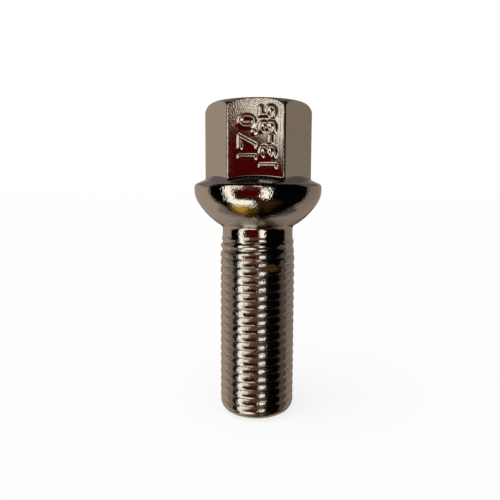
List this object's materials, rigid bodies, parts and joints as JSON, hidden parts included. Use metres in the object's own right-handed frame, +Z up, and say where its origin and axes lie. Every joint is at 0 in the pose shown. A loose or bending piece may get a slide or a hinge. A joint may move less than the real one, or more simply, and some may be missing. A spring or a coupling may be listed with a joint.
{
  "type": "wheel bolt",
  "caption": "Forged steel wheel bolt with a crowned hexagon head, sloping collar, ball seat, plain neck and threaded shank, bright chrome plated.",
  "frame": {"origin": "middle of the flat end face of the thread's point, on which the bolt stands", "axes": "+Z up the bolt's axis from the point to the head; -Y towards a flat of the hexagon; +X towards a corner of the hexagon"},
  "size_m": [0.0234, 0.0234, 0.0576],
  "materials": {
    "plated_steel": "bright chrome plating over forged steel, with a fine pitted grain and a little gold-brown stain on the thread"
  },
  "bodies": {
    "root": {"wheel_bolt": "plated_steel"}
  },
  "joints": []
}
